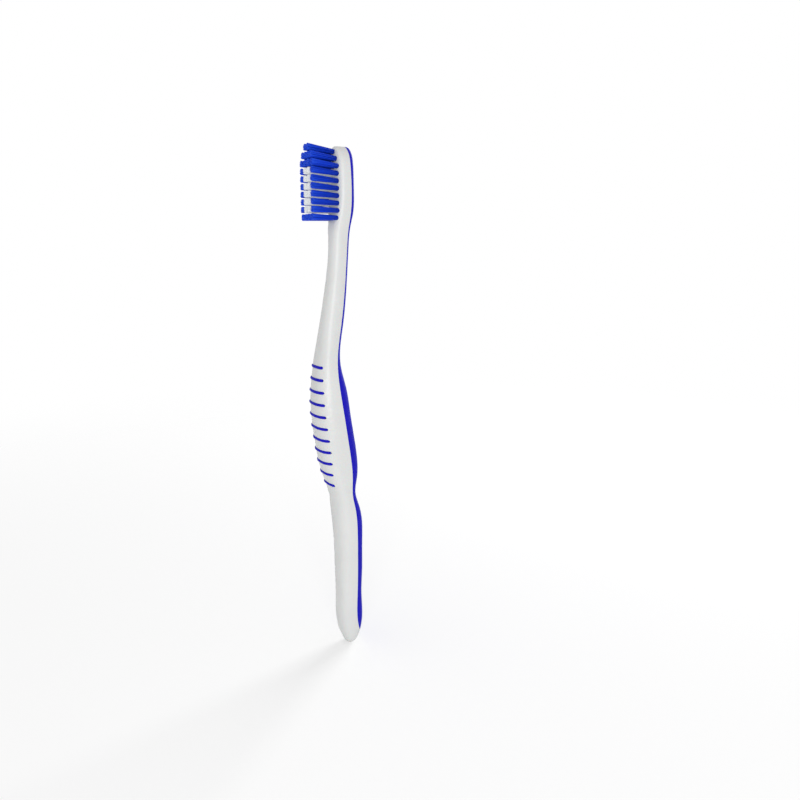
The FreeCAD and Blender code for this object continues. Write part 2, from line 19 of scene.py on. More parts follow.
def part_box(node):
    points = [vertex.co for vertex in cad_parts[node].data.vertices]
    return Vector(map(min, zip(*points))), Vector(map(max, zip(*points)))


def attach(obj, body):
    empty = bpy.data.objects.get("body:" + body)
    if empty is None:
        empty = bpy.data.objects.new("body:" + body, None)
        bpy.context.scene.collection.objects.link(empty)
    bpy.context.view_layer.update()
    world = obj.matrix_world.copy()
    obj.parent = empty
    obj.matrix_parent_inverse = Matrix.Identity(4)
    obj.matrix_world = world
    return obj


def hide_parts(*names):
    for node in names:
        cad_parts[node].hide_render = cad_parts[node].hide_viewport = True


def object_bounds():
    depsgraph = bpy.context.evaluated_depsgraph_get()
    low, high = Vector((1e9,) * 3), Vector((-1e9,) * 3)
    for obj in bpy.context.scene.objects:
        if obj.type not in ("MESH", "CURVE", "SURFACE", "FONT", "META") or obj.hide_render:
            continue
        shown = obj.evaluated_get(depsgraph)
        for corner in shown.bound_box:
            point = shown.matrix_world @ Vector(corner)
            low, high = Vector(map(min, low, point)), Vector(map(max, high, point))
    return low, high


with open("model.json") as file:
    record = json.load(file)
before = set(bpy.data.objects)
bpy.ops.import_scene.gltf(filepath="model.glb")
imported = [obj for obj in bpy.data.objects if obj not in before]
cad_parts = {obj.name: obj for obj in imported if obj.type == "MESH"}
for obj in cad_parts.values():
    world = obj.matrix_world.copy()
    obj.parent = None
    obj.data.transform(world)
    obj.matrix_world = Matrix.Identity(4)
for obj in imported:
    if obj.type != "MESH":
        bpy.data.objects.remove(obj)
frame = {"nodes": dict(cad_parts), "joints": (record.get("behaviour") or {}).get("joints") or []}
CAD_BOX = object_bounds()
FULL_TURN = 2 * math.pi
GOLDEN_ANGLE = math.pi * (3 - math.sqrt(5))
MERGE_DISTANCE = 1e-7
BEVEL_STEPS = 3
ROUND_PROFILE = 0.5

log = logging.getLogger("toothbrush")


class Body(Enum):
    """Rigid bodies of the frame that pieces ride on."""

    HANDLE = "handle"
    INTERDENTAL = "interdental_brush"
    STIMULATOR = "gum_stimulator"


class Slot(Enum):
    """Material slots of the record that new pieces take."""

    TOOL = "white_tool"
    SOFT = "blue_soft"
    BLUE_BRISTLE = "blue_bristle"
    WHITE_BRISTLE = "white_bristle"
    WIRE = "wire_steel"
    FILAMENT = "clear_filament"
    RUBBER = "teal_rubber"


@dataclass(frozen=True)
class Signal:
    """One output socket of a shader; arithmetic on it adds Math nodes."""

    shader: "Shader"
    socket: bpy.types.NodeSocket

    def _math(self, operation: str, first: "Term", second: "Term") -> "Signal":
        """Math node of two terms.

        Args:
            operation: Name of the Math node's operation.
            first: First term, a signal or a number.
            second: Second term, a signal or a number.

        Returns:
            The node's value.
        """
        return self.shader.node("ShaderNodeMath", {"operation": operation}, {0: first, 1: second})

    def __add__(self, other: "Term") -> "Signal":
        """Sum."""
        return self._math("ADD", self, other)

    __radd__ = __add__

    def __sub__(self, other: "Term") -> "Signal":
        """Difference."""
        return self._math("SUBTRACT", self, other)

    def __rsub__(self, other: "Term") -> "Signal":
        """Difference from a number."""
        return self._math("SUBTRACT", other, self)

    def __mul__(self, other: "Term") -> "Signal":
        """Product."""
        return self._math("MULTIPLY", self, other)

    __rmul__ = __mul__

    def __truediv__(self, other: "Term") -> "Signal":
        """Quotient."""
        return self._math("DIVIDE", self, other)

    def __pow__(self, other: "Term") -> "Signal":
        """Power."""
        return self._math("POWER", self, other)

    def larger(self, other: "Term") -> "Signal":
        """Larger of two terms."""
        return self._math("MAXIMUM", self, other)

    def swing(self, spread: float) -> "Signal":
        """Value between 0 and 1 moved to lie around 0.

        Args:
            spread: Width of the new range.

        Returns:
            The moved value.
        """
        return spread * (self - 0.5)


Term = Union[Signal, float]
Colour = tuple[float, float, float, float]


def paint(code: str) -> Colour:
    """Scene colour of a written one.

    Args:
        code: Red, green and blue as "#RRGGBB".

    Returns:
        Linear red, green, blue and a full alpha.
    """
    shown = Color(channel / 255 for channel in bytes.fromhex(code[1:]))
    return (*shown.from_srgb_to_scene_linear(), 1.0)


class Shader:
    """Node tree of one material or of the world."""

    def __init__(self, owner: Union[bpy.types.Material, bpy.types.World]) -> None:
        """Empties the owner's node tree.

        Args:
            owner: Material or world that the nodes belong to.
        """
        owner.use_nodes = True
        self.tree = owner.node_tree
        self.tree.nodes.clear()

    def node(self, kind: str, settings: dict, sockets: dict, output: Union[int, str] = 0) -> Signal:
        """Adds a node.

        Args:
            kind: Blender's name of the node's type.
            settings: Properties, set first.
            sockets: Values or signals by the input's name or number.
            output: Name or number of the output that is wanted.

        Returns:
            That output, or an empty signal for a node without outputs.
        """
        made = self.tree.nodes.new(kind)
        for name, value in settings.items():
            setattr(made, name, value)
        for key, value in sockets.items():
            if isinstance(value, Signal):
                self.tree.links.new(value.socket, made.inputs[key])
            else:
                made.inputs[key].default_value = value
        return Signal(self, made.outputs[output] if made.outputs else None)

    def place(self) -> Signal:
        """Object coordinates of the surface, in metres."""
        return self.node("ShaderNodeTexCoord", {}, {}, "Object")

    def height(self) -> Signal:
        """Height of the surface above the tail."""
        return self.node("ShaderNodeSeparateXYZ", {}, {"Vector": self.place()}, "Z")

    def attribute(self, name: str) -> Signal:
        """Number kept on the mesh under a name."""
        return self.node("ShaderNodeAttribute", {"attribute_name": name}, {}, "Fac")

    def noise(self, grain: float, detail: float = 2.0) -> Signal:
        """Noise between 0 and 1.

        Args:
            grain: Size of one lump, in metres.
            detail: Octaves on top of the first.

        Returns:
            The noise value.
        """
        sockets = {"Vector": self.place(), "Scale": 1 / grain, "Detail": detail}
        return self.node("ShaderNodeTexNoise", {}, sockets, "Fac")

    def mix(self, share: Term, low: Union[Signal, Colour], high: Union[Signal, Colour]) -> Signal:
        """Colour between two colours.

        Args:
            share: 0 gives the low colour and 1 the high one.
            low: First colour.
            high: Second colour.

        Returns:
            The mixed colour.
        """
        settings = {"data_type": "RGBA", "clamp_factor": True}
        return self.node("ShaderNodeMix", settings, {0: share, 6: low, 7: high}, 2)

    def bump(self, relief: Signal, depth: float) -> Signal:
        """Surface normal of a relief.

        Args:
            relief: Height between 0 and 1.
            depth: Height of a full step, in metres.

        Returns:
            The bent normal.
        """
        return self.node("ShaderNodeBump", {}, {"Height": relief, "Distance": depth, "Strength": 1.0})

    def surface(self, **sockets: object) -> None:
        """Closes the tree with a Principled surface.

        Args:
            sockets: Values or signals by the input's name, with _ for a blank.
        """
        named = {name.replace("_", " "): value for name, value in sockets.items()}
        skin = self.node("ShaderNodeBsdfPrincipled", {}, named)
        self.node("ShaderNodeOutputMaterial", {}, {"Surface": skin})


@dataclass(frozen=True)
class Finish:
    """Material of one kind of surface, made once and shared by its pieces."""

    name: str
    colour: str

    def material(self) -> bpy.types.Material:
        """Blender material of this finish."""
        found = bpy.data.materials.get(self.name)
        if found is None:
            found = bpy.data.materials.new(self.name)
            self.fill(Shader(found))
        return found

    def fill(self, shader: Shader) -> None:
        """Adds the finish's nodes to an empty tree."""
        raise NotImplementedError


@dataclass(frozen=True)
class MouldedPlastic(Finish):
    """Hard moulded plastic: satin gloss, faint flow clouds and a fine orange peel."""

    cloud_colour: str = "#D6D7D6"
    roughness: float = 0.34
    roughness_spread: float = 0.10
    specular: float = 0.35
    glow_weight: float = 0.06
    glow_depth: float = 0.0012
    cloud_grain: float = 0.009
    peel_grain: float = 0.0007
    peel_depth: float = 0.000012

    def fill(self, shader: Shader) -> None:
        """Adds the plastic's nodes to an empty tree."""
        clouds = shader.noise(self.cloud_grain)
        peel = shader.noise(self.peel_grain)
        shader.surface(
            Base_Color=shader.mix(clouds, paint(self.cloud_colour), paint(self.colour)),
            Roughness=self.roughness + peel.swing(self.roughness_spread),
            Specular_IOR_Level=self.specular,
            Subsurface_Weight=self.glow_weight,
            Subsurface_Scale=self.glow_depth,
            Normal=shader.bump(peel, self.peel_depth),
        )


@dataclass(frozen=True)
class SoftElastomer(Finish):
    """Soft-touch elastomer: matt, with a fine spark-eroded grain and slight colour drift."""

    deep_colour: str = "#1A15A8"
    roughness: float = 0.52
    roughness_spread: float = 0.16
    specular: float = 0.08
    drift_grain: float = 0.006
    skin_grain: float = 0.00022
    skin_depth: float = 0.00002

    def fill(self, shader: Shader) -> None:
        """Adds the elastomer's nodes to an empty tree."""
        drift = shader.noise(self.drift_grain)
        skin = shader.noise(self.skin_grain)
        shader.surface(
            Base_Color=shader.mix(drift, paint(self.deep_colour), paint(self.colour)),
            Roughness=self.roughness + skin.swing(self.roughness_spread),
            Specular_IOR_Level=self.specular,
            Normal=shader.bump(skin, self.skin_depth),
        )


@dataclass(frozen=True)
class NylonBristle(Finish):
    """Nylon bristles: own tone per strand, painted shade at the root, painted highlight at the tip, optional
    painted glow.
    """

    # Painted shade: strands darken towards the root colour, where the tufts crowd together; a painted
    # highlight pales them near the tip.
    root_shade_colour: str = "#0B2FAE"
    tip_highlight_colour: str = "#2F5FE6"
    roughness: float = 0.38
    roughness_spread: float = 0.14
    specular: float = 0.12
    strand_share: float = 0.5
    along_share: float = 0.6
    tip_highlight_power: float = 6.0
    # Painted glow: the strands emit their own colour, which lightens the shade in the gaps between tufts.
    painted_glow: float = 0.0

    def fill(self, shader: Shader) -> None:
        """Adds the nylon's nodes to an empty tree."""
        along = shader.attribute(Bundle.ALONG)
        strand = shader.attribute(Bundle.STRAND)
        # Painted shade towards the root, mixed with each strand's own random tone.
        rise = strand * self.strand_share + along * self.along_share
        body = shader.mix(rise, paint(self.root_shade_colour), paint(self.colour))
        # Painted highlight near the tips, stronger on some strands than on others.
        tone = shader.mix(strand * along ** self.tip_highlight_power, body, paint(self.tip_highlight_colour))
        shader.surface(
            Base_Color=tone,
            Roughness=self.roughness + strand.swing(self.roughness_spread),
            Specular_IOR_Level=self.specular,
            # Painted glow, from emission.
            Emission_Color=tone,
            Emission_Strength=self.painted_glow,
        )


@dataclass(frozen=True)
class ClearNylon(Finish):
    """Clear nylon filaments: pale, glossy and partly see-through."""

    pale_colour: str = "#F2F5FA"
    roughness: float = 0.22
    roughness_spread: float = 0.16
    alpha: float = 0.7
    alpha_spread: float = 0.3

    def fill(self, shader: Shader) -> None:
        """Adds the filament's nodes to an empty tree."""
        strand = shader.attribute(Bundle.STRAND)
        shader.surface(
            Base_Color=shader.mix(strand, paint(self.colour), paint(self.pale_colour)),
            Roughness=self.roughness + self.roughness_spread * strand,
            Alpha=self.alpha + self.alpha_spread * strand,
        )


@dataclass(frozen=True)
class TurnedRubber(Finish):
    """Grey-teal rubber with a matt grain, with painted shade that darkens its base under the shaft and a
    paler point.
    """

    unshaded_point_colour: str = "#5D86A0"
    base_height: float = 0.0356
    point_height: float = 0.0254
    grain: float = 0.0003
    grain_depth: float = 0.00002
    tone_spread: float = 0.2
    roughness: float = 0.45
    roughness_spread: float = 0.15
    specular: float = 0.3

    def fill(self, shader: Shader) -> None:
        """Adds the rubber's nodes to an empty tree."""
        # Painted shade: the cone runs from the shaded colour at its base to the paler colour at the point.
        down = (self.base_height - shader.height()) / (self.base_height - self.point_height)
        grain = shader.noise(self.grain)
        share = down + grain.swing(self.tone_spread)
        shader.surface(
            Base_Color=shader.mix(share, paint(self.colour), paint(self.unshaded_point_colour)),
            Roughness=self.roughness + grain.swing(self.roughness_spread),
            Specular_IOR_Level=self.specular,
            Normal=shader.bump(grain, self.grain_depth),
        )


@dataclass(frozen=True)
class DrawnMetal(Finish):
    """Drawn metal: fine streaks that vary its polish."""

    dull_colour: str = "#8E9196"
    streak: float = 0.0001
    streak_detail: float = 3.0
    roughness: float = 0.2
    roughness_spread: float = 0.2

    def fill(self, shader: Shader) -> None:
        """Adds the metal's nodes to an empty tree."""
        streaks = shader.noise(self.streak, self.streak_detail)
        shader.surface(
            Base_Color=shader.mix(streaks, paint(self.dull_colour), paint(self.colour)),
            Metallic=1.0,
            Roughness=self.roughness + self.roughness_spread * streaks,
        )


WHITE_PLASTIC = MouldedPlastic("moulded_white", "#DEDFDE")
TOOL_PLASTIC = MouldedPlastic("moulded_tool_white", "#E4E9EC", cloud_colour="#D5DDE0", roughness=0.3)
BLUE_ELASTOMER = SoftElastomer("soft_blue", "#1E18C0")
BLUE_NYLON = NylonBristle("bristle_blue", "#1142DA")
# White tufts carry a painted glow that lightens the shaded gaps between them.
WHITE_NYLON = NylonBristle("bristle_white", "#D9DBDC", root_shade_colour="#D2D7DC", tip_highlight_colour="#E4E6E7", painted_glow=0.16)
CLEAR_NYLON = ClearNylon("filament_clear", "#C4CEDD")
# Its colour is the painted shade at the base of the cone.
TEAL_RUBBER = TurnedRubber("rubber_teal", "#2E4A58")
STEEL = DrawnMetal("twisted_steel", "#D3D6DA")
ANCHOR_BRASS = DrawnMetal("anchor_brass", "#CDB37A", dull_colour="#A88C55")


class Clay:
    """Mesh in the making, with the operators that the pieces share."""

    def __init__(self) -> None:
        """Starts an empty mesh."""
        self.mesh = bmesh.new()

    def added(self, before: int) -> list[bmesh.types.BMVert]:
        """Vertices added since the mesh had a number of them, if none was taken away."""
        self.mesh.verts.ensure_lookup_table()
        return self.mesh.verts[before:]

    def take(self, shape: bmesh.types.BMesh, matrix: Matrix) -> None:
        """Takes in a shape that was made by itself.

        Args:
            shape: The shape, which is used up.
            matrix: Its place.
        """
        shape.transform(matrix)
        carrier = bpy.data.meshes.new("carrier")
        shape.to_mesh(carrier)
        shape.free()
        self.mesh.from_mesh(carrier)
        bpy.data.meshes.remove(carrier)

    def sweep(self, stations: Sequence[Matrix], sides: int, power: float = 2.0) -> None:
        """Closed tube through stations.

        Args:
            stations: Matrices that place and size a unit ring, in order.
            sides: Vertices of a ring.
            power: Section shape, 2 for round and higher for boxier.
        """
        ring = bmesh.ops.create_circle(self.mesh, cap_ends=True, segments=sides, radius=1.0)["verts"]
        for vert in ring:
            for axis in (0, 1):
                vert.co[axis] = math.copysign(abs(vert.co[axis]) ** (2 / power), vert.co[axis])
        loop = list({edge for vert in ring for edge in vert.link_edges})
        bmesh.ops.transform(self.mesh, matrix=stations[0], verts=ring)
        for here, there in zip(stations, stations[1:]):
            grown = bmesh.ops.extrude_edge_only(self.mesh, edges=loop)["geom"]
            ring = [item for item in grown if isinstance(item, bmesh.types.BMVert)]
            ends = set(ring)
            loop = [item for item in grown
                    if isinstance(item, bmesh.types.BMEdge) and ends.issuperset(item.verts)]
            bmesh.ops.transform(self.mesh, matrix=there @ here.inverted(), verts=ring)
        bmesh.ops.contextual_create(self.mesh, geom=loop)

    def spin(self, profile: Sequence[tuple[float, float]], steps: int, matrix: Matrix) -> None:
        """Turned shape.

        Args:
            profile: Radius and height of each corner, from one pole to the other.
            steps: Faces round the shape.
            matrix: Place of the turned shape.
        """
        shape = bmesh.new()
        corners = [shape.verts.new((radius, 0, height)) for radius, height in profile]
        edges = [shape.edges.new(pair) for pair in zip(corners, corners[1:])]
        bmesh.ops.spin(shape, geom=corners + edges, cent=(0, 0, 0), axis=(0, 0, 1), angle=FULL_TURN,
                       steps=steps, use_merge=True)
        bmesh.ops.remove_doubles(shape, verts=shape.verts, dist=MERGE_DISTANCE)
        self.take(shape, matrix)

    def slab(self, size: Vector, centre: Vector, rounding: float, matrix: Matrix) -> None:
        """Box with rounded edges.

        Args:
            size: Lengths of the box.
            centre: Middle of the box.
            rounding: Radius of its edges.
            matrix: Place of the box.
        """
        shape = bmesh.new()
        block = Matrix.Translation(centre) @ Matrix.Diagonal((*size, 1.0))
        bmesh.ops.create_cube(shape, size=1.0, matrix=block)
        bmesh.ops.bevel(shape, geom=shape.edges, offset=rounding, offset_type="OFFSET", affect="EDGES",
                        segments=BEVEL_STEPS, profile=ROUND_PROFILE, material=-1)
        self.take(shape, matrix)

    def piece(self, name: str, finish: Finish, subdivide: int = 0) -> bpy.types.Object:
        """Object of the finished mesh.

        Args:
            name: Name of the piece.
            finish: Its material.
            subdivide: Levels of its subdivision surface.

        Returns:
            The object, at the origin.
        """
        bmesh.ops.recalc_face_normals(self.mesh, faces=self.mesh.faces)
        data = bpy.data.meshes.new(name)
        self.mesh.to_mesh(data)
        self.mesh.free()
        data.shade_smooth()
        data.materials.append(finish.material())
        made = bpy.data.objects.new(name, data)
        bpy.context.scene.collection.objects.link(made)
        if subdivide:
            smooth = made.modifiers.new("Smooth", "SUBSURF")
            smooth.levels = smooth.render_levels = subdivide
        return made


def section(height: float, width: float, depth: float, level: float = 0.0) -> Matrix:
    """Matrix of a level ring.

    Args:
        height: Place along Z.
        width: Size along X.
        depth: Size along Y.
        level: Place of the middle along Y.

    Returns:
        Matrix that turns a unit circle into the ring.
    """
    return Matrix.Translation((0, level, height)) @ Matrix.Diagonal((width / 2, depth / 2, 1.0, 1.0))


def tube_stations(path: Sequence[Vector], radii: Sequence[float], upright: Vector) -> list[Matrix]:
    """Matrices of rings square to a path.

    Args:
        path: Points of the path.
        radii: Radius of the ring at each point.
        upright: Direction that the rings keep in view.

    Returns:
        One matrix for each point.
    """
    stations = []
    for index, point in enumerate(path):
        ahead = (path[min(index + 1, len(path) - 1)] - path[max(index - 1, 0)]).normalized()
        across = upright.cross(ahead).normalized()
        turn = Matrix((across, ahead.cross(across), ahead)).transposed().to_4x4()
        size = Matrix.Diagonal((radii[index], radii[index], 1.0, 1.0))
        stations.append(Matrix.Translation(point) @ turn @ size)
    return stations


def join_frame(piece: bpy.types.Object, body: Body, nodes: Iterable[str]) -> None:
    """Seats a piece on the frame and reports it.

    Args:
        piece: New piece.
        body: Body that it rides on.
        nodes: Nodes that it stands for.
    """
    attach(piece, body.value)
    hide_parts(*nodes)
    log.info("%s stands for %s on %s", piece.name, ", ".join(nodes), body.value)


def dress_node(name: str, finish: Finish) -> None:
    """Gives a node that stays in view its finish.

    Args:
        name: Name of the node.
        finish: Its material.
    """
    for material_slot in frame["nodes"][name].material_slots:
        material_slot.material = finish.material()
    log.info("%s keeps its solid, in %s", name, finish.name)


@dataclass
class Handle:
    """Hard core, soft back and the beads of the grip."""

    rib_count: int = 11
    bead_sides: int = 14
    bead_steps: int = 90
    bead_lap: float = 0.00004
    bead_proud: float = 0.00045
    cast_from: float = 0.03
    cast_aside: float = 0.0009
    cap_steps: int = 5
    cap_lead: float = 0.35

    def build(self) -> None:
        """Dresses the mouldings and lays the beads."""
        dress_node("handle_core", WHITE_PLASTIC)
        dress_node("back_overmould", BLUE_ELASTOMER)
        dress_node("tuft_anchors", ANCHOR_BRASS)
        core = BVHTree.FromObject(frame["nodes"]["handle_core"], bpy.context.evaluated_depsgraph_get())
        for number in range(1, self.rib_count + 1):
            self._bead(number, core)

    def _bead(self, number: int, core: BVHTree) -> None:
        """Round soft bead that fills the slot of one grip rib.

        Args:
            number: Number of the rib, from the top.
            core: Surface of the hard core.
        """
        node = f"grip_rib_{number:02d}"
        low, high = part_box(node)
        radius = (high.z - low.z) / 2 + self.bead_lap
        axis = Vector((0, high.y, (low.z + high.z) / 2))
        aside = Vector((0, 0, self.cast_aside))
        path = []
        for step in range(self.bead_steps + 1):
            swing = math.pi * (step / self.bead_steps - 0.5)
            out = Vector((math.sin(swing), -math.cos(swing), 0))
            start = axis + self.cast_from * out
            above, below = (core.ray_cast(start + shift, -out)[0] for shift in (aside, -aside))
            point = (above + below) / 2
            if abs(point.x) < high.x:
                path.append(point)
        middle = self._shortened(self._inset(path, radius - self.bead_proud), radius)
        clay = Clay()
        clay.sweep(self._capped(middle, radius), self.bead_sides)
        join_frame(clay.piece(f"grip_bead_{number:02d}", BLUE_ELASTOMER), Body.HANDLE, [node])

    @staticmethod
    def _shortened(path: Sequence[Vector], loss: float) -> list[Vector]:
        """Path without the points near its two ends.

        Args:
            path: Points of the path.
            loss: Length to lose at each end.

        Returns:
            The points that stay.
        """
        steps = [(there - here).length for here, there in zip(path, path[1:])]
        total = sum(steps)
        gone = [sum(steps[:index]) for index in range(len(path))]
        return [point for point, length in zip(path, gone) if loss < length < total - loss]

    @staticmethod
    def _inset(path: Sequence[Vector], depth: float) -> list[Vector]:
        """Level path moved into the handle.

        Args:
            path: Points on the front of the handle, from left to right.
            depth: Distance to move.

        Returns:
            The moved points.
        """
        moved = []
        for index, point in enumerate(path):
            ahead = path[min(index + 1, len(path) - 1)] - path[max(index - 1, 0)]
            inward = Vector((-ahead.y, ahead.x, 0)).normalized()
            moved.append(point + inward * depth)
        return moved

    def _capped(self, path: Sequence[Vector], radius: float) -> list[Matrix]:
        """Rings of a bead with round ends.

        Args:
            path: Middle line of the bead.
            radius: Radius of the bead.

        Returns:
            Matrices of the rings.
        """
        start = (path[0] - path[1]).normalized()
        end = (path[-1] - path[-2]).normalized()
        points, radii = [], []
        for step in range(self.cap_steps):
            swing = math.pi / 2 * (step + self.cap_lead) / self.cap_steps
            points.append(path[0] + start * radius * math.cos(swing))
            radii.append(radius * math.sin(swing))
        tail = [path[-1] + end * radius * math.cos(math.asin(size / radius)) for size in reversed(radii)]
        radii = radii + [radius] * len(path) + radii[::-1]
        return tube_stations(points + list(path) + tail, radii, Vector((0, 0, 1)))


@dataclass
class Bundle:
    """One strand of nylon, copied into tufts."""

    ALONG = "along"
    STRAND = "strand"

    sides: int = 6
    middle_share: float = 0.5
    shoulder_share: float = 0.988
    tip_share: float = 0.5

    def strand(self) -> bpy.types.Mesh:
        """Strand of unit radius and height with a rounded tip.

        Returns:
            Mesh that carries the share of the height on its vertices.
        """
        clay = Clay()
        shares = ((0.0, 1.0), (self.middle_share, 1.0), (self.shoulder_share, 1.0), (1.0, self.tip_share))
        clay.sweep([section(height, 2 * radius, 2 * radius) for height, radius in shares], self.sides)
        along = clay.mesh.verts.layers.float.new(self.ALONG)
        clay.mesh.verts.layers.float.new(self.STRAND)
        for vert in clay.mesh.verts:
            vert[along] = vert.co.z
        bmesh.ops.recalc_face_normals(clay.mesh, faces=clay.mesh.faces)
        mesh = bpy.data.meshes.new("strand")
        clay.mesh.to_mesh(mesh)
        clay.mesh.free()
        return mesh

    def lay(self, clay: Clay, strand: bpy.types.Mesh, matrix: Matrix, tone: float) -> None:
        """Copies the strand into a mesh.

        Args:
            clay: Mesh that gets the copy.
            strand: The strand.
            matrix: Place, lean and size of the copy.
            tone: Tone of this copy, from 0 to 1.
        """
        before = len(clay.mesh.verts)
        clay.mesh.from_mesh(strand)
        verts = clay.added(before)
        layer = clay.mesh.verts.layers.float[self.STRAND]
        for vert in verts:
            vert[layer] = tone
        bmesh.ops.transform(clay.mesh, matrix=matrix, verts=verts)


@dataclass
class BristleField:
    """Tufts of the head, each a bundle of loose strands."""

    tip_height: float = 0.190
    face_level: float = -0.003975
    rows: int = 10
    toe_drop: float = 0.0019
    pitch: float = 0.00249
    outer: float = 0.00395
    inner: float = 0.0013
    toe_share: float = 0.77
    second_outer_share: float = 0.73
    second_inner_share: float = 0.74
    heel_share: float = 0.89
    root: float = 0.0016
    tip: float = 0.00225
    length: float = 0.0100
    sunk: float = 0.0014
    toe_fan: float = 6.5
    heel_fan: float = 1.0
    side_splay: float = 4.5
    strand_width: float = 0.00023
    strand_count: int = 58
    rim_share: float = 1.16
    stray: float = 0.00003
    trim: float = 0.00006
    turn_spread: float = 0.2
    white_rows: tuple[int, int] = (4, 9)
    white_columns: tuple[int, int] = (2, 3)
    seed: int = 12

    def build(self) -> None:
        """Builds every tuft."""
        draw = random.Random(self.seed)
        bundle = Bundle()
        strand = bundle.strand()
        for row in range(1, self.rows + 1):
            for column, across in enumerate(self._columns(row), start=1):
                self._tuft(row, column, across, bundle, strand, draw)
        bpy.data.meshes.remove(strand)

    def _columns(self, row: int) -> tuple[float, ...]:
        """Places of the tufts across one row.

        Args:
            row: Number of the row, from the toe.

        Returns:
            Places along X.
        """
        outer, inner = self.outer, self.inner
        if row == 1:
            return (-self.toe_share * inner, self.toe_share * inner)
        if row == 2:
            outer, inner = self.second_outer_share * outer, self.second_inner_share * inner
        elif row == self.rows:
            outer, inner = self.heel_share * outer, self.heel_share * inner
        return (-outer, -inner, inner, outer)

    def _seat(self, row: int, across: float) -> Matrix:
        """Place and lean of a tuft.

        Args:
            row: Number of the row, from the toe.
            across: Place along X.

        Returns:
            Matrix that puts an upright tuft into its hole.
        """
        share = (row - 1) / (self.rows - 1)
        fan = self.toe_fan + (self.heel_fan - self.toe_fan) * share
        height = self.tip_height - self.toe_drop - (row - 1) * self.pitch
        splay = Matrix.Rotation(math.radians(self.side_splay * across / self.outer), 4, "Z")
        lean = Matrix.Rotation(math.radians(90 - fan), 4, "X")
        return Matrix.Translation((across, self.face_level, height)) @ splay @ lean

    def _tuft(self, row: int, column: int, across: float, bundle: Bundle, strand: bpy.types.Mesh,
              draw: random.Random) -> None:
        """Builds one tuft.

        Args:
            row: Number of the row, from the toe.
            column: Number of the tuft in its row.
            across: Place along X.
            bundle: Maker of the strands.
            strand: Mesh of one strand.
            draw: Source of the strands' small differences.
        """
        seat = self._seat(row, across)
        clay = Clay()
        clay.mesh.verts.layers.float.new(Bundle.ALONG)
        clay.mesh.verts.layers.float.new(Bundle.STRAND)
        width = self.strand_width / 2
        for number in range(self.strand_count):
            reach = min(1.0, self.rim_share * math.sqrt((number + 0.5) / self.strand_count))
            angle = number * GOLDEN_ANGLE + draw.uniform(-self.turn_spread, self.turn_spread)
            ray = Vector((math.cos(angle), math.sin(angle), 0)) * reach
            stray = Vector((draw.gauss(0, self.stray), draw.gauss(0, self.stray), 0))
            foot = ray * (self.root / 2 - width) - Vector((0, 0, self.sunk))
            top = ray * (self.tip / 2 - width) + stray
            top.z = self.length - abs(draw.gauss(0, self.trim))
            lean = top - foot
            size = Matrix(((width, 0, lean.x, foot.x), (0, width, lean.y, foot.y), (0, 0, lean.z, foot.z),
                           (0, 0, 0, 1)))
            bundle.lay(clay, strand, seat @ size, draw.random())
        white = (self.white_rows[0] <= row <= self.white_rows[1]) and column in self.white_columns
        piece = clay.piece(f"bristles_row{row:02d}_{column}", WHITE_NYLON if white else BLUE_NYLON)
        join_frame(piece, Body.HANDLE, [f"tuft_row{row:02d}_{column}"])


@dataclass
class Tool:
    """What the two stowed tools share: their place in the bay."""

    waist: float = 0.064
    level: float = -0.0002


